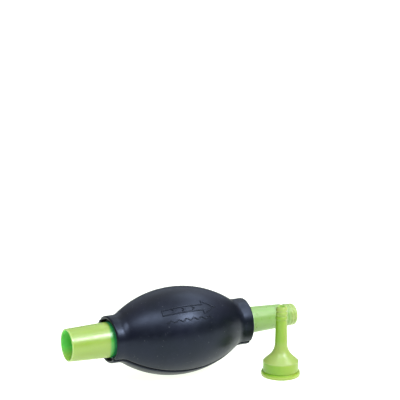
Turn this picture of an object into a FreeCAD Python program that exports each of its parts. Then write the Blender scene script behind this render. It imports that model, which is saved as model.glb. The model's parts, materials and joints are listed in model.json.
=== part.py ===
import FreeCAD, Part
import math
import os

# Squeeze-bulb siphon starter for a gravel vacuum, with its loose hose adapter. Millimetres.
# The siphon lies on its belly with its axis along X, and water flows through it towards +X.
# The wide inlet tube is at -X and the ridged outlet tube at +X. The adapter stands on its
# flange in front of the outlet, at -Y. The origin is under the middle of the bounding box,
# on the surface that both pieces rest on.

# ---------------------------------------------------------------- driving dimensions
# Rubber bulb, symmetric about its middle.
BULB_RADIUS = 33.3
BELLY_ARC = 79.0            # radius of the belly's outline along the axis
WALL = 3.0                  # rubber thickness over the belly
COLLAR_RADIUS = 17.8
NECK_FILLET = 10.0          # hollow between belly and collar
RIM = 57.7                  # from the middle of the bulb to each collar's rim
RECESS_RADIUS = 15.3        # the collar stands clear of its tube by this ring
RECESS_DEPTH = 4.0
COLLAR_SLANT = 2.7          # the inlet collar is trimmed shorter by this at the front than at the back
NECK_RADIUS = 13.4          # rubber grips the tubes here
NECK_START = 44.0
CAVITY_END = 38.0           # the belly's even wall stops here and thickens into the neck
SEAM_TILT = 41.4            # the mould's parting plane, degrees from upright, low edge to the front

# The two walls that a hand presses in.
SQUEEZE_HALF_LENGTH = 36.0
SQUEEZE_HALF_WIDTH = 21.0
SQUEEZE_GAP = 0.15          # taken off each side of the cut

# Check valve, the same at both ends, measured from its seat face, with flow along +X.
SEAT_RADIUS = 11.9
SEAT_LENGTH = 4.0
PORT_RADIUS = 6.4
SEAL_RADIUS = 7.4
SEAL_LENGTH = 0.8
SEAL_LIFT = 0.05            # running gap under the closed seal
FLAP_RADIUS = 7.9
FLAP_LENGTH = 1.1
DOME_RADIUS = 4.8
DOME_HEIGHT = 2.4
PIN_RADIUS = 0.7
PIN_CLEARANCE = 0.06
PIN_X = 0.6                 # beside the seat face, so that the hanging flap leans on its seat
PIN_Z = 8.9
KNUCKLE_RADIUS = 1.3
KNUCKLE_HALF_WIDTH = 1.8
EAR_GAP = 0.2
EAR_WIDTH = 1.5
EAR_RADIUS = 1.5

# Inlet tube.
INLET_REACH = 30.7          # beyond the collar's rim
INLET_MOUTH_RADIUS = 12.2
INLET_BORE_RADIUS = 11.05
TUBE_START = 40.0           # inner ends of both tubes, from the middle of the bulb
BEAD_HEIGHT = 0.4           # beads that hold the tubes in the rubber necks
BEAD_WIDTH = 1.6
BEAD_START = 45.6
BEAD_PITCH = 3.6
BEAD_COUNT = 2

# Outlet tube.
OUTLET_REACH = 42.75
OUTLET_BORE_RADIUS = 6.7
CHAMBER_RADIUS = 11.4
CHAMBER_END = 53.0
BORE_START = 60.0
SHOULDER_START = 54.5
SHOULDER_END = 58.5
SHOULDER_RADIUS = 11.2
TUBE_ROOT = 60.5
TUBE_ROOT_RADIUS = 10.2
TUBE_SHANK_END = 88.5       # a short cone leads from here down to the ringed tip
TUBE_SHANK_RADIUS = 9.1
TIP_START = 91.3
TIP_START_RADIUS = 8.4
TUBE_TIP_RADIUS = 7.95
RING_PITCH = 2.7
RING_WIDTH = 2.1
RING_HEIGHT = 0.38
RING_COUNT = 3

# Adapter: a cup on a flange, a cone and a stem with three hose ridges.
ADAPTER_AHEAD = 69.4        # from the middle of the bulb, along the siphon
ADAPTER_ASIDE = 38.15       # in front of the siphon's axis
ADAPTER_HEIGHT = 53.8
FLANGE_RADIUS = 14.85
FLANGE_HEIGHT = 3.4
CUP_RADIUS = 13.35
CUP_HEIGHT = 11.4
CUP_BORE_RADIUS = 12.25
CUP_BORE_DEPTH = 9.4
CONE_TOP = 15.2
CONE_TOP_RADIUS = 9.2
STEM_START = 25.0
STEM_RADIUS = 4.75
STEM_NECK_HEIGHT = 43.4     # lowest hose ridge starts here
STEM_NECK_RADIUS = 4.25
STEM_TIP_RADIUS = 3.95
STEM_BORE_RADIUS = 2.6
STEM_BORE_START = 20.0
STEM_RING_PITCH = 3.4
STEM_RING_WIDTH = 2.9
STEM_RING_HEIGHT = 0.42
STEM_RING_COUNT = 3

# Places of the two pieces, from the extents that the box is centred on.
INLET_END = -(RIM + INLET_REACH)
OUTLET_END = RIM + OUTLET_REACH
SIPHON_X = -(INLET_END + OUTLET_END) / 2
SIPHON_Y = (ADAPTER_ASIDE + FLANGE_RADIUS - BULB_RADIUS) / 2
SIPHON_Z = BULB_RADIUS

V = FreeCAD.Vector
ORIGIN = V(0, 0, 0)
ALONG_X = V(1, 0, 0)
ALONG_Y = V(0, 1, 0)
ALONG_Z = V(0, 0, 1)


# ---------------------------------------------------------------- building blocks
def turned(outline, axis=ALONG_X):
    """Turn a closed outline of (along, radius) steps; a step of two points arcs through the first."""
    def place(point):
        along, radius = point
        return V(along, 0, radius) if axis == ALONG_X else V(radius, 0, along)

    edges = []
    start = place(outline[0])
    closed = isinstance(outline[-1][0], tuple) and outline[-1][1] == outline[0]
    for step in outline[1:] if closed else outline[1:] + outline[:1]:
        if isinstance(step[0], tuple):
            middle = place(step[0])
            end = place(step[1])
            edges.append(Part.Arc(start, middle, end).toShape())
        else:
            end = place(step)
            edges.append(Part.LineSegment(start, end).toShape())
        start = end
    return Part.Face(Part.Wire(edges)).revolve(ORIGIN, axis, 360)


def disc(radius, start, length):
    """A round plate across the siphon's axis."""
    return Part.makeCylinder(radius, length, V(start, 0, 0), ALONG_X)


def crosswise(radius, half_width, x, z):
    """A cylinder along Y, centred on the siphon's upright middle plane."""
    return Part.makeCylinder(radius, 2 * half_width, V(x, -half_width, z), ALONG_Y)


def block(x_range, y_range, z_range):
    low = V(x_range[0], y_range[0], z_range[0])
    size = [high - start for start, high in (x_range, y_range, z_range)]
    return Part.makeBox(*size, low)


def rings(base_line, first, pitch, width, height, count):
    """Outline steps for round-backed rings that stand on base_line(along)."""
    steps = []
    for index in range(count):
        start = first + index * pitch
        end = start + width
        middle = (start + end) / 2
        steps.append((start, base_line(start)))
        steps.append(((middle, base_line(middle) + height), (end, base_line(end))))
    return steps


def taper(start, start_radius, end, end_radius):
    """The radius of a straight taper, as a function of the place along it."""
    slope = (end_radius - start_radius) / (end - start)
    return lambda along: start_radius + slope * (along - start)


def save(name, shape):
    """Write one node, as closed solids without needless seams."""
    clean = shape.removeSplitter()
    if not clean.isValid() or not clean.Solids:
        raise ValueError(name + " is not a valid solid")
    clean.exportStep(os.path.join("parts", name + ".step"))


def save_on_siphon(name, shape):
    shape.translate(V(SIPHON_X, SIPHON_Y, SIPHON_Z))
    save(name, shape)


# ---------------------------------------------------------------- rubber bulb
def belly(along, depth=0.0):
    """Radius of the belly's outline, or of the surface that far under it."""
    centre = BULB_RADIUS - BELLY_ARC
    return centre + math.sqrt((BELLY_ARC - depth) ** 2 - along ** 2)


def neck_hollow():
    """Outline steps of the fillet from the belly to the collar: its start, then its arc."""
    belly_centre = BULB_RADIUS - BELLY_ARC
    rise = COLLAR_RADIUS + NECK_FILLET - belly_centre
    reach = BELLY_ARC + NECK_FILLET
    centre_x = math.sqrt(reach ** 2 - rise ** 2)
    centre_radius = COLLAR_RADIUS + NECK_FILLET
    to_belly = math.atan2(-rise, -centre_x)
    to_collar = -math.pi / 2

    def point(angle):
        return (centre_x + NECK_FILLET * math.cos(angle), centre_radius + NECK_FILLET * math.sin(angle))

    return point(to_belly), (point((to_belly + to_collar) / 2), point(to_collar))


def whole_bulb():
    """The bulb before its squeeze walls are parted: one half turned, then mirrored."""
    hollow_start, hollow = neck_hollow()
    lip = (COLLAR_RADIUS - RECESS_RADIUS) / 2
    recess_floor = RIM - RECESS_DEPTH
    half = turned([
        (0, BULB_RADIUS),
        ((hollow_start[0] / 2, belly(hollow_start[0] / 2)), hollow_start),
        hollow,
        (RIM - lip, COLLAR_RADIUS),
        ((RIM, COLLAR_RADIUS - lip), (RIM - lip, RECESS_RADIUS)),
        (recess_floor, RECESS_RADIUS),
        (recess_floor, NECK_RADIUS),
        (NECK_START, NECK_RADIUS),
        (CAVITY_END, belly(CAVITY_END, WALL)),
        ((CAVITY_END / 2, belly(CAVITY_END / 2, WALL)), (0, BULB_RADIUS - WALL)),
    ])
    return half.fuse(half.mirror(ORIGIN, ALONG_X)).removeSplitter()


def trimmed_off():
    """The slice that the slanted trim takes off the inlet collar."""
    margin = 10
    reach = COLLAR_RADIUS + margin
    slope = COLLAR_SLANT / (2 * COLLAR_RADIUS)

    def trim_line(aside):
        return V(-RIM + slope * (COLLAR_RADIUS - aside), aside, -reach)

    outside = -RIM - margin
    corners = [trim_line(reach), trim_line(-reach), V(outside, -reach, -reach), V(outside, reach, -reach)]
    outline = Part.makePolygon(corners + corners[:1])
    return Part.Face(outline).extrude(V(0, 0, 2 * reach))


def squeeze_column(side_turn, grow):
    """An oval column out of the bulb's middle, square to the parting plane."""
    oval = Part.Ellipse(ORIGIN, SQUEEZE_HALF_LENGTH + grow, SQUEEZE_HALF_WIDTH + grow)
    column = Part.Face(Part.Wire([oval.toShape()])).extrude(V(0, 0, BULB_RADIUS + 1))
    column.rotate(ORIGIN, ALONG_X, 90 - SEAM_TILT + side_turn)
    return column


def build_bulb():
    bulb = whole_bulb().cut(trimmed_off())
    shell = bulb
    for name, side_turn in (("squeeze_wall_front", 0), ("squeeze_wall_back", 180)):
        save_on_siphon(name, bulb.common(squeeze_column(side_turn, -SQUEEZE_GAP)))
        shell = shell.cut(squeeze_column(side_turn, SQUEEZE_GAP))
    save_on_siphon("bulb_shell", shell)


# ---------------------------------------------------------------- tubes
def beads(start):
    """Outline steps of the beads around a tube where the rubber neck grips it."""
    return rings(lambda along: NECK_RADIUS, start, BEAD_PITCH, BEAD_WIDTH, BEAD_HEIGHT, BEAD_COUNT)


def build_inlet_tube():
    nose = (INLET_MOUTH_RADIUS - INLET_BORE_RADIUS) / 2
    recess_floor = -(RIM - RECESS_DEPTH)
    pocket = -(TUBE_START + SEAT_LENGTH)
    last_bead = -(BEAD_START + (BEAD_COUNT - 1) * BEAD_PITCH + BEAD_WIDTH)
    tube = turned([
        (INLET_END + nose, INLET_MOUTH_RADIUS),
        (recess_floor, NECK_RADIUS),
        *beads(last_bead),
        (-TUBE_START, NECK_RADIUS),
        (-TUBE_START, SEAT_RADIUS),
        (pocket, SEAT_RADIUS),
        (pocket, INLET_BORE_RADIUS),
        (INLET_END + nose, INLET_BORE_RADIUS),
        ((INLET_END, INLET_BORE_RADIUS + nose), (INLET_END + nose, INLET_MOUTH_RADIUS)),
    ])
    save_on_siphon("inlet_tube", tube)


def build_outlet_tube():
    surface = taper(TIP_START, TIP_START_RADIUS, OUTLET_END, TUBE_TIP_RADIUS)
    first_ring = OUTLET_END - RING_COUNT * RING_PITCH
    nose = (TUBE_TIP_RADIUS - OUTLET_BORE_RADIUS) / 2
    pocket = TUBE_START + SEAT_LENGTH
    tube = turned([
        (TUBE_START, NECK_RADIUS),
        *beads(BEAD_START),
        (SHOULDER_START, NECK_RADIUS),
        (SHOULDER_END, SHOULDER_RADIUS),
        (TUBE_ROOT, TUBE_ROOT_RADIUS),
        (TUBE_SHANK_END, TUBE_SHANK_RADIUS),
        (TIP_START, TIP_START_RADIUS),
        *rings(surface, first_ring, RING_PITCH, RING_WIDTH, RING_HEIGHT, RING_COUNT),
        ((OUTLET_END, OUTLET_BORE_RADIUS + nose), (OUTLET_END - nose, OUTLET_BORE_RADIUS)),
        (BORE_START, OUTLET_BORE_RADIUS),
        (CHAMBER_END, CHAMBER_RADIUS),
        (pocket, CHAMBER_RADIUS),
        (pocket, SEAT_RADIUS),
        (TUBE_START, SEAT_RADIUS),
    ])
    save_on_siphon("outlet_tube", tube)


# ---------------------------------------------------------------- check valves
def valve_seat():
    """A disc with a port and two ears for the hinge pin."""
    seat = disc(SEAT_RADIUS, -SEAT_LENGTH, SEAT_LENGTH)
    seat = seat.cut(disc(PORT_RADIUS, -SEAT_LENGTH - 1, SEAT_LENGTH + 2))
    room = KNUCKLE_RADIUS + EAR_GAP
    seat = seat.cut(crosswise(room, KNUCKLE_HALF_WIDTH + EAR_GAP, PIN_X, PIN_Z))
    for side in (-1, 1):
        inner = side * (KNUCKLE_HALF_WIDTH + EAR_GAP)
        outer = side * (KNUCKLE_HALF_WIDTH + EAR_GAP + EAR_WIDTH)
        y_range = (min(inner, outer), max(inner, outer))
        barrel = Part.makeCylinder(EAR_RADIUS, EAR_WIDTH, V(PIN_X, y_range[0], PIN_Z), ALONG_Y)
        foot = block((-SEAT_LENGTH / 2, PIN_X), y_range, (PIN_Z - EAR_RADIUS, PIN_Z + EAR_RADIUS))
        seat = seat.fuse([barrel, foot])
    half_pin = KNUCKLE_HALF_WIDTH + EAR_GAP + EAR_WIDTH
    return seat.cut(crosswise(PIN_RADIUS, half_pin + 1, PIN_X, PIN_Z))


def valve_pin():
    return crosswise(PIN_RADIUS, KNUCKLE_HALF_WIDTH + EAR_GAP + EAR_WIDTH, PIN_X, PIN_Z)


def valve_seal():
    """A soft ring under the flap, which closes on the seat around the port."""
    return turned([
        (SEAL_LIFT, PORT_RADIUS - 1),
        (SEAL_LIFT, SEAL_RADIUS),
        (SEAL_LIFT + SEAL_LENGTH, SEAL_RADIUS),
        (SEAL_LIFT + SEAL_LENGTH, PORT_RADIUS - 1),
    ])


def valve_flap():
    """A plate with a domed back, a boss that centres the seal, and the hinge knuckle."""
    back = SEAL_LIFT + SEAL_LENGTH
    top = back + FLAP_LENGTH
    crown = (top + DOME_HEIGHT, 0)
    bulge = (top + 0.75 * DOME_HEIGHT, 0.6 * DOME_RADIUS)
    plate = turned([
        (SEAL_LIFT + SEAL_LENGTH / 2, 0),
        (SEAL_LIFT + SEAL_LENGTH / 2, PORT_RADIUS - 1),
        (back, PORT_RADIUS - 1),
        (back, FLAP_RADIUS),
        (top, FLAP_RADIUS),
        (top, DOME_RADIUS),
        (bulge, crown),
    ])
    plate = plate.cut(crosswise(EAR_RADIUS + EAR_GAP, FLAP_RADIUS, PIN_X, PIN_Z))
    arm_width = (-KNUCKLE_HALF_WIDTH, KNUCKLE_HALF_WIDTH)
    arm = block((back, top), arm_width, (DOME_RADIUS, PIN_Z))
    knuckle = crosswise(KNUCKLE_RADIUS, KNUCKLE_HALF_WIDTH, PIN_X, PIN_Z)
    flap = plate.fuse([arm, knuckle])
    return flap.cut(crosswise(PIN_RADIUS + PIN_CLEARANCE, KNUCKLE_HALF_WIDTH + 1, PIN_X, PIN_Z))


def build_valves():
    """The same valve in each tube: outside the inlet tube's end, inside the outlet's chamber."""
    for end, face in (("inlet", -TUBE_START), ("outlet", TUBE_START + SEAT_LENGTH)):
        pieces = {
            "_valve_seat": valve_seat(),
            "_hinge_pin": valve_pin(),
            "_flap": valve_flap(),
            "_flap_seal": valve_seal(),
        }
        for suffix, shape in pieces.items():
            shape.translate(V(face, 0, 0))
            save_on_siphon(end + suffix, shape)


# ---------------------------------------------------------------- loose hose adapter
def build_adapter():
    edge = FLANGE_HEIGHT / 2
    bulge = FLANGE_RADIUS - 0.3 * edge
    cone_mid = ((CONE_TOP + STEM_START) / 2, STEM_RADIUS + 0.22 * (CONE_TOP_RADIUS - STEM_RADIUS))
    stem = taper(STEM_NECK_HEIGHT, STEM_NECK_RADIUS, ADAPTER_HEIGHT, STEM_TIP_RADIUS)
    adapter = turned([
        (0, CUP_BORE_RADIUS),
        (0, bulge),
        ((edge, FLANGE_RADIUS), (FLANGE_HEIGHT, bulge)),
        (FLANGE_HEIGHT, CUP_RADIUS),
        (CUP_HEIGHT, CUP_RADIUS),
        (CONE_TOP, CONE_TOP_RADIUS),
        (cone_mid, (STEM_START, STEM_RADIUS)),
        *rings(stem, STEM_NECK_HEIGHT, STEM_RING_PITCH, STEM_RING_WIDTH, STEM_RING_HEIGHT, STEM_RING_COUNT),
        (ADAPTER_HEIGHT, STEM_TIP_RADIUS - 0.3),
        (ADAPTER_HEIGHT, STEM_BORE_RADIUS),
        (STEM_BORE_START, STEM_BORE_RADIUS),
        (CUP_BORE_DEPTH, CUP_BORE_RADIUS),
    ], ALONG_Z)
    adapter.translate(V(SIPHON_X + ADAPTER_AHEAD, SIPHON_Y - ADAPTER_ASIDE, 0))
    save("adapter", adapter)


os.makedirs("parts", exist_ok=True)
build_bulb()
build_inlet_tube()
build_outlet_tube()
build_valves()
build_adapter()
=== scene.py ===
import json
import math

import bmesh
import bpy
import numpy as np
from mathutils import Euler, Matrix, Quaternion, Vector
from mathutils.geometry import tessellate_polygon


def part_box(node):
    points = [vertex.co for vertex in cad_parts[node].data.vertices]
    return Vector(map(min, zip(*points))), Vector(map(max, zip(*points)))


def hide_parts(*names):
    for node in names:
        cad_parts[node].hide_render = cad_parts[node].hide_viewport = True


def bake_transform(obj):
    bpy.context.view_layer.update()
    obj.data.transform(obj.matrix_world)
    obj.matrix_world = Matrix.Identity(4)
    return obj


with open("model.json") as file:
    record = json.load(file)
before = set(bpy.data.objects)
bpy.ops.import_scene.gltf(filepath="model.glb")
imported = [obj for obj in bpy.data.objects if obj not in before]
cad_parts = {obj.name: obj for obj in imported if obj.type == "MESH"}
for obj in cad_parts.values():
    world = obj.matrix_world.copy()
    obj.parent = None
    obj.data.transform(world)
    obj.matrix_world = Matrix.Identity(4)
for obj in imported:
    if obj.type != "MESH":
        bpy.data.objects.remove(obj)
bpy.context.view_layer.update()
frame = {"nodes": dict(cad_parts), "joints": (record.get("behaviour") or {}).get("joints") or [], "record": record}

MM = 0.001


# ---------------------------------------------------------------- places, from the frame
def node_centre(node):
    low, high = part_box(node)
    return (low + high) / 2


# middle of the bulb, on the siphon's axis: the two squeeze walls mirror each other about it
BULB = (node_centre("squeeze_wall_front") + node_centre("squeeze_wall_back")) / 2
BULB_LOW, BULB_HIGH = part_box("bulb_shell")
RIM = BULB_HIGH.x - BULB.x                  # from the bulb's middle to each collar's rim
BULB_RADIUS = (BULB_HIGH.z - BULB_LOW.z) / 2
INLET_REACH = BULB.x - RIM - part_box("inlet_tube")[0].x

MOUNTS = {mount["name"]: mount["dims"] for mount in frame["record"]["mounts"]}
INLET_BORE = MOUNTS["inlet_bore"]["r_mm"] * MM
OUTLET_BORE = MOUNTS["outlet_bore"]["r_mm"] * MM
CUP_DEPTH = MOUNTS["adapter_cup"]["length_mm"] * MM
STEM_BORE = MOUNTS["adapter_stem_bore"]["r_mm"] * MM
ADAPTER = node_centre("adapter")
ADAPTER_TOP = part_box("adapter")[1].z
FLANGE_HEIGHT = 3.4 * MM
SHOULDER = CUP_DEPTH + 2.0 * MM             # where the adapter's cup meets its cone
PALE_CONE_END = 29.0 * MM                   # where the cone's paler tone has faded out, up the stem
OUTLET_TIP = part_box("outlet_tube")[1].x - BULB.x

JOINT_AXES = {joint["name"]: Vector(joint["axis"]) for joint in frame["joints"]}
FRONT = -JOINT_AXES["squeeze_front"].normalized()  # out of the front half, square to the parting plane


# ---------------------------------------------------------------- rubber bulb, dimensions
BELLY_ARC = 79.0 * MM       # radius of the belly's outline along the axis
WALL = 3.0 * MM
COLLAR_RADIUS = 17.8 * MM
NECK_FILLET = 10.0 * MM
RECESS_RADIUS = 15.3 * MM
RECESS_DEPTH = 4.0 * MM
COLLAR_SLANT = 2.7 * MM     # the inlet collar is trimmed this much shorter at the front than at the back
NECK_RADIUS = 13.4 * MM
NECK_START = 44.0 * MM
CAVITY_END = 38.0 * MM
GROOVE_DEPTH = 1.5 * MM     # where the two halves of the mould met
GROOVE_WIDTH = 1.0 * MM
FLASH_HEIGHT = 0.12 * MM    # a low ridge along each side of that groove
FLASH_PLACE = 2.3 * MM
FLASH_WIDTH = 0.4 * MM


# ---------------------------------------------------------------- small helpers
def new_object(name, vertices, faces, material, smooth=True):
    mesh = bpy.data.meshes.new(name)
    mesh.from_pydata([tuple(v) for v in vertices], [], faces)
    mesh.validate()
    mesh.materials.append(material)
    mesh.polygons.foreach_set("use_smooth", [smooth] * len(mesh.polygons))
    obj = bpy.data.objects.new(name, mesh)
    bpy.context.scene.collection.objects.link(obj)
    return obj


def set_ramp(node, low, high, out_low, out_high):
    for key, number in (("From Min", low), ("From Max", high), ("To Min", out_low), ("To Max", out_high)):
        node.inputs[key].default_value = number


class Nodes:
    """Builds one material's node tree: each call adds a node and returns the socket it gives."""

    def __init__(self, name):
        self.material = bpy.data.materials.new(name)
        self.material.use_nodes = True
        self.tree = self.material.node_tree
        self.shader = self.tree.nodes["Principled BSDF"]
        self.place = self.add("ShaderNodeTexCoord").outputs["Object"]

    def add(self, kind, **settings):
        node = self.tree.nodes.new(kind)
        for key, value in settings.items():
            setattr(node, key, value)
        return node

    def link(self, source, target):
        if isinstance(source, (int, float, tuple)):
            target.default_value = source
        else:
            self.tree.links.new(source, target)

    def set(self, **inputs):
        for key, value in inputs.items():
            self.shader.inputs[key.replace("_", " ")].default_value = value

    def noise(self, scale, detail):
        node = self.add("ShaderNodeTexNoise")
        node.inputs["Scale"].default_value = scale
        node.inputs["Detail"].default_value = detail
        self.link(self.place, node.inputs["Vector"])
        return node.outputs["Fac"]

    def math(self, operation, first, second=0.0):
        node = self.add("ShaderNodeMath", operation=operation)
        self.link(first, node.inputs[0])
        self.link(second, node.inputs[1])
        return node.outputs[0]

    def ramp(self, value, low, high, out_low=0.0, out_high=1.0):
        """Goes smoothly from out_low to out_high as the value goes from low to high."""
        node = self.add("ShaderNodeMapRange", interpolation_type="SMOOTHSTEP")
        self.link(value, node.inputs["Value"])
        set_ramp(node, low, high, out_low, out_high)
        return node.outputs["Result"]

    def clouds(self, scale, detail, out_low=0.0, out_high=1.0):
        return self.ramp(self.noise(scale, detail), 0.3, 0.7, out_low, out_high)

    def mix(self, factor, first, second):
        node = self.add("ShaderNodeMix", data_type="RGBA")
        self.link(factor, node.inputs["Factor"])
        self.link(first, node.inputs[6])
        self.link(second, node.inputs[7])
        return node.outputs[2]

    def coordinates(self, place):
        parts = self.add("ShaderNodeSeparateXYZ")
        self.link(place, parts.inputs[0])
        return parts.outputs

    def from_centre(self, centre):
        """The point's coordinates, measured from a centre."""
        offset = self.add("ShaderNodeVectorMath", operation="SUBTRACT")
        self.link(self.place, offset.inputs[0])
        offset.inputs[1].default_value = centre
        return self.coordinates(offset.outputs[0])

    def length(self, first, second):
        squares = self.math("ADD", self.math("POWER", first, 2.0), self.math("POWER", second, 2.0))
        return self.math("SQRT", squares)

    def axis_place(self):
        """(along, aside, radius) of a point about the siphon's axis."""
        along, aside, up = self.from_centre(BULB)
        return along, aside, self.length(aside, up)

    def upright_place(self, centre):
        """(aside, radius) of a point about an upright axis; aside is along +X."""
        aside, ahead, _ = self.from_centre(centre)
        return aside, self.length(aside, ahead)

    def height(self):
        return self.coordinates(self.place)[2]

    def inside(self, radius, bore, fade=0.20 * MM):
        """1 on the wall of a bore and 0 further out."""
        edge = bore + 0.05 * MM
        return self.ramp(radius, edge, edge + fade, 1, 0)

    def seam_distance(self):
        """Distance of a point from the bulb's parting plane."""
        dot = self.add("ShaderNodeVectorMath", operation="DOT_PRODUCT")
        self.link(self.place, dot.inputs[0])
        dot.inputs[1].default_value = FRONT
        return self.math("ABSOLUTE", self.math("SUBTRACT", dot.outputs["Value"], BULB.dot(FRONT)))

    def bump(self, height, distance, strength):
        node = self.add("ShaderNodeBump")
        node.inputs["Distance"].default_value = distance
        node.inputs["Strength"].default_value = strength
        self.link(height, node.inputs["Height"])
        self.link(node.outputs[0], self.shader.inputs["Normal"])

    def colour(self, source):
        self.link(source, self.shader.inputs["Base Color"])

    def rough(self, source):
        self.link(source, self.shader.inputs["Roughness"])


# ---------------------------------------------------------------- materials
RUBBER_DARK = (0.0010, 0.0020, 0.0042, 1)
RUBBER_PALE = (0.0034, 0.0040, 0.0100, 1)
RUBBER_GRAIN = (0.006, 0.0075, 0.014, 1)
RUBBER_SHEEN = (0.65, 0.75, 1.0, 1)
DUST = (0.30, 0.31, 0.33, 1)
# painted shade for the groove along the parting line
SEAM_SHADE = (0.002, 0.002, 0.003, 1)

INLET_LIME = (0.245, 0.357, 0.044, 1)
INLET_CLOUD = (0.264, 0.376, 0.058, 1)
# painted highlight where light catches the mouth's lip
INLET_LIP_HIGHLIGHT = (0.55, 0.75, 0.30, 1)
INLET_SHADE = (0.040, 0.34, 0.030, 1)
INLET_RIM_SHADE = (0.02, 0.24, 0.08, 1)
# painted light on the bore's lower inside, where light falls in through the mouth
INLET_BORE_LIT_FLOOR = (0.36, 0.50, 0.09, 1)
EMERALD = (0.18, 0.68, 0.14, 1)         # light that has passed through more of the plastic
SHADE_SLANT = 0.215                     # the collar's shade reaches further out at the front

OUTLET_LIME = (0.202, 0.342, 0.076, 1)
OUTLET_CLOUD = (0.222, 0.364, 0.098, 1)
OUTLET_SHOULDER = (0.50, 0.72, 0.38, 1)

ADAPTER_LIME = (0.247, 0.350, 0.032, 1)
ADAPTER_CLOUD = (0.258, 0.362, 0.040, 1)
# painted shade on the adapter's side away from the light
ADAPTER_SHADED_SIDE = (0.172, 0.364, 0.014, 1)
ADAPTER_CONE = (0.34, 0.41, 0.15, 1)
ADAPTER_FLANGE = (0.34, 0.44, 0.08, 1)
# painted light: the stem's bore shown pale, lit through the translucent wall
ADAPTER_BORE_LIGHT = (0.40, 0.56, 0.14, 1)
RIDGED_END = (0.35, 0.42, 0.12, 1)      # the ridged ends of the outlet and of the adapter's stem


def bulb_rubber():
    """Blue-black satin rubber: cloudy tone, fine grain, dust, and painted shade in the parting line."""
    m = Nodes("bulb_rubber")
    tone = m.mix(m.ramp(m.noise(42, 4), 0.32, 0.68), RUBBER_DARK, RUBBER_PALE)
    tone = m.mix(m.ramp(m.noise(260, 3), 0.5, 0.75, 0, 0.35), tone, RUBBER_GRAIN)
    specks = m.ramp(m.noise(900, 1), 0.765, 0.80)
    tone = m.mix(m.math("MULTIPLY", specks, 0.45), tone, DUST)
    seam = m.seam_distance()
    # painted shade: the parting groove is darkened where shade falls in it
    m.colour(m.mix(m.ramp(seam, 0.9 * MM, 1.3 * MM, 1, 0), tone, SEAM_SHADE))
    along, _, _ = m.axis_place()
    satin = m.ramp(m.math("ABSOLUTE", along), 36 * MM, 46 * MM, 0.33, 0.31)
    dull_seam = m.ramp(seam, 0.8 * MM, 1.6 * MM, 0.5, 0)
    m.rough(m.math("ADD", m.math("ADD", satin, dull_seam), m.clouds(150, 5, 0, 0.07)))
    m.bump(m.math("ADD", m.noise(2600, 2), m.noise(500, 3)), 0.03 * MM, 0.4)
    m.set(Specular_IOR_Level=0.37, Specular_Tint=RUBBER_SHEEN)
    return m.material


def lime_plastic(name, body, cloud, roughness, specular):
    """Translucent moulded plastic, with the soft clouding that the melt leaves along its flow."""
    m = Nodes(name)
    colour = m.mix(m.clouds(55, 4), body, cloud)
    m.rough(m.clouds(220, 4, roughness, roughness + 0.08))
    m.bump(m.math("ADD", m.noise(900, 2), m.noise(130, 2)), 0.01 * MM, 0.3)
    m.set(Subsurface_Weight=0.35, Subsurface_Scale=4 * MM, Subsurface_Radius=(0.6, 1.0, 0.25))
    m.set(Specular_IOR_Level=specular)
    return m, colour


def inlet_plastic():
    """Painted highlight at the lip, painted shade in green towards the collar, and painted light inside the bore:
    lit on its floor, passed through the plastic above.
    """
    m, colour = lime_plastic("inlet_plastic", INLET_LIME, INLET_CLOUD, 0.29, 0.8)
    along, aside, radius = m.axis_place()
    lip = -RIM - INLET_REACH
    # painted highlight along the lip of the mouth
    colour = m.mix(m.ramp(along, lip + 0.3 * MM, lip + 1.3 * MM, 0.3, 0), colour, INLET_LIP_HIGHLIGHT)
    shade = m.math("SUBTRACT", along, m.math("MULTIPLY", aside, SHADE_SLANT))
    colour = m.mix(m.ramp(shade, -RIM + 0.8 * MM, -RIM + 3.0 * MM), colour, INLET_SHADE)
    rim = m.math("ADD", along, m.math("MULTIPLY", aside, COLLAR_SLANT / (2 * COLLAR_RADIUS)))
    colour = m.mix(m.ramp(rim, -RIM + 0.3 * MM, -RIM + 1.8 * MM), colour, INLET_RIM_SHADE)
    # painted light in the bore: the lit floor low down, light passed through the plastic higher up
    raised = m.ramp(m.height(), BULB.z - INLET_BORE, BULB.z - 0.3 * INLET_BORE)
    bore = m.mix(raised, INLET_BORE_LIT_FLOOR, EMERALD)
    m.colour(m.mix(m.inside(radius, INLET_BORE), colour, bore))
    return m.material


def outlet_plastic():
    """Pale at its shoulder by the collar, and yellower towards the ridged tip."""
    m, colour = lime_plastic("outlet_plastic", OUTLET_LIME, OUTLET_CLOUD, 0.27, 0.5)
    along, _, radius = m.axis_place()
    colour = m.mix(m.ramp(along, RIM + 2.6 * MM, RIM + 4.6 * MM, 0.75, 0), colour, OUTLET_SHOULDER)
    colour = m.mix(m.ramp(along, OUTLET_TIP - 9 * MM, OUTLET_TIP - 3 * MM, 0, 0.7), colour, RIDGED_END)
    m.colour(m.mix(m.inside(radius, OUTLET_BORE), colour, EMERALD))
    return m.material


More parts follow.
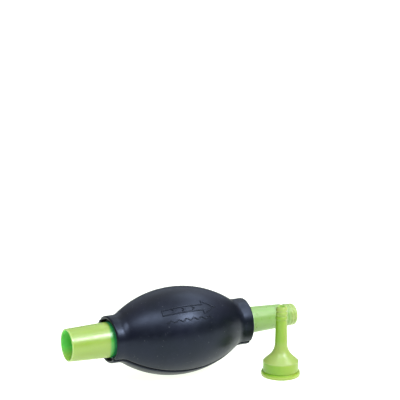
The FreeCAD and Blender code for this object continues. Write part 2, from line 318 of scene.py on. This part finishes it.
def adapter_plastic():
    """Painted shade, a deeper green, on the side towards the inlet, away from the light; paler in the thick cone,
    the flange and the stem's end.
    """
    m, colour = lime_plastic("adapter_plastic", ADAPTER_LIME, ADAPTER_CLOUD, 0.30, 0.5)
    height = m.height()
    aside, radius = m.upright_place(ADAPTER)
    above_cup = m.ramp(height, SHOULDER - 1.0 * MM, SHOULDER - 0.2 * MM)
    cone = m.math("MULTIPLY", above_cup, m.ramp(height, PALE_CONE_END - 9 * MM, PALE_CONE_END, 1, 0))
    # painted shade: deeper green on the side towards the inlet, away from the light, less of it on the cone
    shaded_side = m.ramp(m.math("DIVIDE", aside, radius), -1.1, 0.5, 0.8, 0)
    shaded_side = m.math("MULTIPLY", shaded_side, m.math("SUBTRACT", 1.0, m.math("MULTIPLY", cone, 0.7)))
    colour = m.mix(shaded_side, colour, ADAPTER_SHADED_SIDE)
    colour = m.mix(m.math("MULTIPLY", cone, 0.45), colour, ADAPTER_CONE)
    flange = m.ramp(height, FLANGE_HEIGHT - 1.1 * MM, FLANGE_HEIGHT - 0.3 * MM, 0.8, 0)
    colour = m.mix(flange, colour, ADAPTER_FLANGE)
    ridged = m.ramp(height, ADAPTER_TOP - 11 * MM, ADAPTER_TOP - 2 * MM, 0, 0.6)
    colour = m.mix(ridged, colour, RIDGED_END)
    # painted light in the stem's bore, passed through the plastic
    m.colour(m.mix(m.inside(radius, STEM_BORE, 0.15 * MM), colour, ADAPTER_BORE_LIGHT))
    return m.material


def plain_plastic(name, light, dark, roughness):
    m = Nodes(name)
    m.colour(m.mix(m.clouds(120, 4), light, dark))
    m.rough(m.clouds(300, 3, roughness, roughness + 0.1))
    m.bump(m.noise(1500, 2), 0.02 * MM, 0.4)
    return m.material


def pin_steel():
    m = Nodes("pin_steel")
    m.colour(m.mix(m.noise(700, 2), (0.62, 0.62, 0.60, 1), (0.45, 0.45, 0.44, 1)))
    m.rough(m.clouds(1200, 2, 0.22, 0.38))
    m.set(Metallic=1.0)
    return m.material


# ---------------------------------------------------------------- camera, light and floor
CAMERA_TURN = 26.0          # degrees from square on, so that the inlet's mouth comes forward
CAMERA_PITCH = 13.28
CAMERA_ROLL = 0.4
BULB_RIGHT = -17.4 * MM     # the bulb's middle, from the camera: right, ahead and below
BULB_AHEAD = 1252.9 * MM
BULB_BELOW = 396.55 * MM
SENSOR = 36.0
LENS = 156.6

WORLD_LOW = 0.02            # the surroundings' brightness at the horizon and overhead
WORLD_HIGH = 0.8
HORIZON_TOP = 0.12          # the upward part of the directions between which it rises
OVERHEAD = 0.9
FLOOR_HALF = 3.0
FLOOR_GLOW = 1.05
LAMP_DISTANCE = 1.5
LAMP_COLOUR = (0.86, 0.92, 1.0)
REAR_COLOUR = (0.70, 0.82, 1.0)


def heading():
    """Unit vectors across the view and ahead of it, level."""
    turn = math.radians(CAMERA_TURN)
    return Vector((math.cos(turn), -math.sin(turn), 0)), Vector((math.sin(turn), math.cos(turn), 0))


def add_camera():
    right, ahead = heading()
    data = bpy.data.cameras.new("camera")
    data.sensor_width = SENSOR
    data.lens = LENS
    data.clip_start = 0.05
    camera = bpy.data.objects.new("camera", data)
    camera.location = BULB - right * BULB_RIGHT - ahead * BULB_AHEAD + Vector((0, 0, BULB_BELOW))
    level = Euler((math.radians(90 - CAMERA_PITCH), 0, math.radians(-CAMERA_TURN)))
    roll = Quaternion((0, 0, 1), math.radians(CAMERA_ROLL))
    camera.rotation_euler = (level.to_quaternion() @ roll).to_euler()
    bpy.context.scene.collection.objects.link(camera)
    bpy.context.scene.camera = camera


def add_area_light(name, azimuth, elevation, size, power, colour=LAMP_COLOUR):
    """A soft light that faces the bulb; azimuth 0 is on the camera's side and 90 is to its right."""
    right, ahead = heading()
    side = math.radians(azimuth)
    rise = math.radians(elevation)
    level = right * math.sin(side) - ahead * math.cos(side)
    offset = level * math.cos(rise) + Vector((0, 0, math.sin(rise)))
    data = bpy.data.lights.new(name, "AREA")
    data.shape = "RECTANGLE"
    data.size, data.size_y = size
    data.energy = power
    data.color = colour
    light = bpy.data.objects.new(name, data)
    light.location = BULB + offset * LAMP_DISTANCE
    light.rotation_euler = (-offset).to_track_quat("-Z", "Y").to_euler()
    bpy.context.scene.collection.objects.link(light)


def add_floor():
    """Pale grey paper, lit from below like a light table until it shows white."""
    m = Nodes("floor_paper")
    m.colour(m.mix(m.noise(3, 2), (0.40, 0.40, 0.39, 1), (0.44, 0.44, 0.43, 1)))
    m.set(Roughness=0.85, Specular_IOR_Level=0.2)
    m.set(Emission_Color=(0.94, 1.0, 0.87, 1), Emission_Strength=FLOOR_GLOW)
    corners = [(x * FLOOR_HALF, y * FLOOR_HALF, 0) for x, y in ((-1, -1), (1, -1), (1, 1), (-1, 1))]
    floor = new_object("floor", corners, [(0, 1, 2, 3)], m.material, smooth=False)


def add_world():
    """Dim at the horizon and bright overhead, like a room with white ceiling panels."""
    world = bpy.data.worlds.new("studio")
    world.use_nodes = True
    tree = world.node_tree
    place = tree.nodes.new("ShaderNodeTexCoord")
    parts = tree.nodes.new("ShaderNodeSeparateXYZ")
    ramp = tree.nodes.new("ShaderNodeMapRange")
    ramp.interpolation_type = "SMOOTHSTEP"
    set_ramp(ramp, HORIZON_TOP, OVERHEAD, WORLD_LOW, WORLD_HIGH)
    tree.links.new(place.outputs["Generated"], parts.inputs[0])
    tree.links.new(parts.outputs["Z"], ramp.inputs["Value"])
    tree.links.new(ramp.outputs["Result"], tree.nodes["Background"].inputs["Strength"])
    tree.nodes["Background"].inputs["Color"].default_value = (1, 1, 1, 1)
    bpy.context.scene.world = world


# ---------------------------------------------------------------- rubber bulb
BELLY_CENTRE = BULB_RADIUS - BELLY_ARC      # radius at which the belly's arc is centred


def belly(along, depth=0.0):
    """The belly's radius at a distance along the axis, at a depth under its skin."""
    return BELLY_CENTRE + math.sqrt((BELLY_ARC - depth) ** 2 - along ** 2)


def arc(centre, radius, start, end, steps):
    """Points of (along, radius) on a circle, from one angle in degrees to another."""
    angles = np.radians(np.linspace(start, end, steps))
    return [(centre[0] + radius * math.cos(a), centre[1] + radius * math.sin(a)) for a in angles]


def bulb_outline():
    """Closed outline of the bulb's section: one end drawn, the other mirrored."""
    rise = COLLAR_RADIUS + NECK_FILLET - BELLY_CENTRE
    fillet_x = math.sqrt((BELLY_ARC + NECK_FILLET) ** 2 - rise ** 2)
    belly_angle = math.degrees(math.atan2(-rise, -fillet_x))
    belly_end = fillet_x + NECK_FILLET * math.cos(math.radians(belly_angle))
    lip = (COLLAR_RADIUS - RECESS_RADIUS) / 2
    lip_centre = (RIM - lip, COLLAR_RADIUS - lip)
    outer = [(x, belly(x)) for x in np.linspace(0, belly_end, 60)]
    outer += arc((fillet_x, COLLAR_RADIUS + NECK_FILLET), NECK_FILLET, belly_angle, -90, 14)[1:]
    outer += arc(lip_centre, lip, 90, -90, 13)
    floor = RIM - RECESS_DEPTH
    inner = arc((floor + lip / 2, RECESS_RADIUS - lip / 2), lip / 2, 90, 180, 5)
    inner += [(floor, NECK_RADIUS + lip / 4), (floor - lip / 4, NECK_RADIUS), (NECK_START, NECK_RADIUS)]
    inner += [(x, belly(x, WALL)) for x in np.linspace(CAVITY_END, 0, 30)]
    half = outer + inner
    mirrored = [(-x, r) for x, r in reversed(half)]
    return half + mirrored[1:-1]


def seam_relief(from_seam):
    """Height of the surface near the parting line, by the distance along the surface from it."""
    groove = GROOVE_DEPTH * math.exp(-((from_seam / GROOVE_WIDTH) ** 2))
    ridge = FLASH_HEIGHT * math.exp(-(((from_seam - FLASH_PLACE) / FLASH_WIDTH) ** 2))
    return ridge - groove


def around_half():
    """Angles across one half, closer together at its two seams."""
    from_seam = [0, 0.12, 0.24, 0.38, 0.55, 0.75, 0.95, 1.2, 1.5, 2.0, 2.8, 4.0]
    quarter = [math.pi / 2 - distance * MM / BULB_RADIUS for distance in from_seam]
    quarter += list(np.linspace(quarter[-1], 0, 32)[1:])
    return [-a for a in quarter] + list(reversed(quarter))[1:]


def radial(outward, angle):
    """The direction at an angle from the half's own middle direction, about the siphon's axis."""
    side = Vector((1, 0, 0)).cross(outward)
    return outward * math.cos(angle) + side * math.sin(angle)


def trim(place):
    """How far the slanted trim moves a point of the inlet collar towards the belly."""
    lip = (COLLAR_RADIUS - RECESS_RADIUS) / 2
    start, full = RIM - RECESS_DEPTH, RIM - lip
    share = min(1, max(0, (-place.x - start) / (full - start)))
    return share * COLLAR_SLANT * (COLLAR_RADIUS - place.y) / (2 * COLLAR_RADIUS)


def on_outside(along, radius):
    """Whether a point of the outline is on the bulb's outside, where the parting line shows."""
    if abs(along) < NECK_START:
        return radius > belly(along) - 0.2 * WALL
    return radius > RECESS_RADIUS + 0.3 * MM


def bulb_half(name, outward, material):
    """One moulded half of the bulb, closed at the parting plane."""
    outline = bulb_outline()
    angles = around_half()
    vertices, faces = [], []
    for angle in angles:
        direction = radial(outward, angle)
        for along, radius in outline:
            from_seam = (math.pi / 2 - abs(angle)) * radius
            relief = seam_relief(from_seam) if on_outside(along, radius) else 0
            place = Vector((along, 0, 0)) + direction * (radius + relief)
            place.x += trim(place)
            vertices.append(BULB + place)
    count = len(outline)
    for row in range(len(angles) - 1):
        for i in range(count):
            j = (i + 1) % count
            a, b = row * count, (row + 1) * count
            faces.append((a + i, a + j, b + j, b + i))
    flat = [Vector((x, r, 0)) for x, r in outline]
    last = (len(angles) - 1) * count
    for triangle in tessellate_polygon([flat]):
        faces.append(tuple(triangle))
        faces.append(tuple(last + i for i in reversed(triangle)))
    return finished(new_object(name, vertices, faces, material))


def finished(obj, sharp=40.0):
    """Faces turned outwards, and edges over that angle in degrees kept crisp."""
    mesh = bmesh.new()
    mesh.from_mesh(obj.data)
    bmesh.ops.remove_doubles(mesh, verts=mesh.verts, dist=1e-7)
    bmesh.ops.recalc_face_normals(mesh, faces=mesh.faces)
    for edge in mesh.edges:
        edge.smooth = len(edge.link_faces) == 2 and edge.calc_face_angle() < math.radians(sharp)
    mesh.to_mesh(obj.data)
    mesh.free()
    return obj


def on_bulb(along, across):
    """A point on the front half's skin, at a distance along the axis and around from its middle."""
    radius = belly(along)
    return BULB + Vector((along, 0, 0)) + radial(FRONT, -across / BULB_RADIUS) * radius


def skin_normal(along, across):
    step = 0.1 * MM
    by_along = on_bulb(along + step, across) - on_bulb(along - step, across)
    by_across = on_bulb(along, across + step) - on_bulb(along, across - step)
    normal = by_along.cross(by_across).normalized()
    return normal if normal.dot(FRONT) > 0 else -normal


# ---------------------------------------------------------------- raised flow mark
MARK_WIDTH = 1.25 * MM
MARK_HEIGHT = 0.6 * MM
MARK_SUNK = 0.25 * MM
MARK_STEP = 0.5 * MM


def stroke_points(corners, closed):
    """A polyline's points, close enough together to follow the bulb."""
    points = []
    ring = corners + corners[:1] if closed else corners
    for start, end in zip(ring, ring[1:]):
        start, end = np.array(start), np.array(end)
        steps = max(1, int(np.linalg.norm(end - start) / MARK_STEP))
        points += [start + (end - start) * i / steps for i in range(steps)]
    if not closed:
        points.append(np.array(ring[-1]))
    return points


def unit(vector):
    return vector / np.linalg.norm(vector)


def stroke(corners, closed, width, vertices, faces):
    """A round-topped ridge that follows a polyline over the bulb's skin."""
    points = stroke_points(corners, closed)
    rising = [(-0.5, -MARK_SUNK), (-0.42, 0.45 * MARK_HEIGHT), (-0.25, 0.9 * MARK_HEIGHT)]
    section = rising + [(0, MARK_HEIGHT)] + [(-offset, height) for offset, height in reversed(rising)]
    first = len(vertices)
    total = len(points)
    for i, point in enumerate(points):
        before = points[(i - 1) % total] if closed or i > 0 else point
        after = points[(i + 1) % total] if closed or i < total - 1 else point
        arriving = unit(point - before) if np.any(point != before) else unit(after - point)
        leaving = unit(after - point) if np.any(after != point) else unit(point - before)
        mean = unit(arriving + leaving)
        mitre = min(1.6, 1 / max(0.3, float(mean @ leaving)))
        side = np.array((-mean[1], mean[0])) * width * mitre
        normal = skin_normal(*point)
        for offset, height in section:
            vertices.append(on_bulb(*(point + side * offset)) + normal * height)
    size = len(section)
    for i in range(total if closed else total - 1):
        a = first + i * size
        b = first + ((i + 1) % total) * size
        for k in range(size):
            n = (k + 1) % size
            faces.append((a + k, a + n, b + n, b + k))
    if not closed:
        faces.append(tuple(first + k for k in range(size)))
        faces.append(tuple(first + (total - 1) * size + k for k in reversed(range(size))))


def flow_mark(material):
    """A plain outlined arrow that points the way the water flows, over a rippled line."""
    vertices, faces = [], []
    tail, neck, tip = -21 * MM, 11 * MM, 21 * MM
    shaft, head = 2.3 * MM, 5.2 * MM
    rise = 2.2 * MM
    barb = 1.2 * MM
    upper = [(tail, shaft), (neck, shaft), (neck, head)]
    arrow = [(x, -y) for x, y in upper] + [(tip, 0)] + list(reversed(upper))
    stroke([(x, y + rise) for x, y in arrow], True, MARK_WIDTH, vertices, faces)
    for start in (-14 * MM, -6 * MM, 2 * MM):
        chevron = [(start, -barb), (start + 2 * MM, 0), (start, barb)]
        stroke([(x, y + rise) for x, y in chevron], False, 0.8 * MARK_WIDTH, vertices, faces)
    level, swing, wave = -6.2 * MM, 0.8 * MM, 6 * MM
    ripple = [(x, level + swing * math.sin(x / wave * 2 * math.pi))
              for x in np.linspace(-19 * MM, 17 * MM, 73)]
    stroke(ripple, False, 0.9 * MARK_WIDTH, vertices, faces)
    return finished(new_object("flow_mark", vertices, faces, material), 60)


def follow_squeeze(piece):
    """Bakes the piece's placement into its mesh."""
    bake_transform(piece)


def build_bulb(material):
    front = bulb_half("bulb_half_front", FRONT, material)
    back = bulb_half("bulb_half_back", -FRONT, material)
    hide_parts("bulb_shell", "squeeze_wall_front")
    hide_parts("squeeze_wall_back")
    follow_squeeze(front)
    follow_squeeze(back)
    follow_squeeze(flow_mark(material))


# ---------------------------------------------------------------- the scene
rubber = bulb_rubber()
valve_plastic = plain_plastic("valve_plastic", (0.74, 0.77, 0.70, 1), (0.68, 0.71, 0.64, 1), 0.35)
seal_rubber = plain_plastic("seal_rubber", (0.05, 0.05, 0.055, 1), (0.03, 0.03, 0.035, 1), 0.55)
steel = pin_steel()

CAD_MATERIALS = {
    "inlet_tube": inlet_plastic(),
    "outlet_tube": outlet_plastic(),
    "adapter": adapter_plastic(),
}
for end in ("inlet", "outlet"):
    CAD_MATERIALS[end + "_valve_seat"] = valve_plastic
    CAD_MATERIALS[end + "_flap"] = valve_plastic
    CAD_MATERIALS[end + "_flap_seal"] = seal_rubber
    CAD_MATERIALS[end + "_hinge_pin"] = steel
for node, material in CAD_MATERIALS.items():
    frame["nodes"][node].data.materials.clear()
    frame["nodes"][node].data.materials.append(material)

build_bulb(rubber)
add_world()
add_camera()
add_floor()
add_area_light("front_softbox", -12, 60, (0.9, 0.6), 12)
add_area_light("right_softbox", 54, 44, (0.36, 0.42), 16.5)
add_area_light("side_softbox", 88, 57, (0.5, 0.5), 4.5)
add_area_light("rear_softbox", 140, 55, (0.9, 0.5), 4.0, REAR_COLOUR)
add_area_light("rear_panel", 180, 25, (1.6, 0.8), 2.2, REAR_COLOUR)
bpy.context.scene.view_settings.view_transform = "Standard"
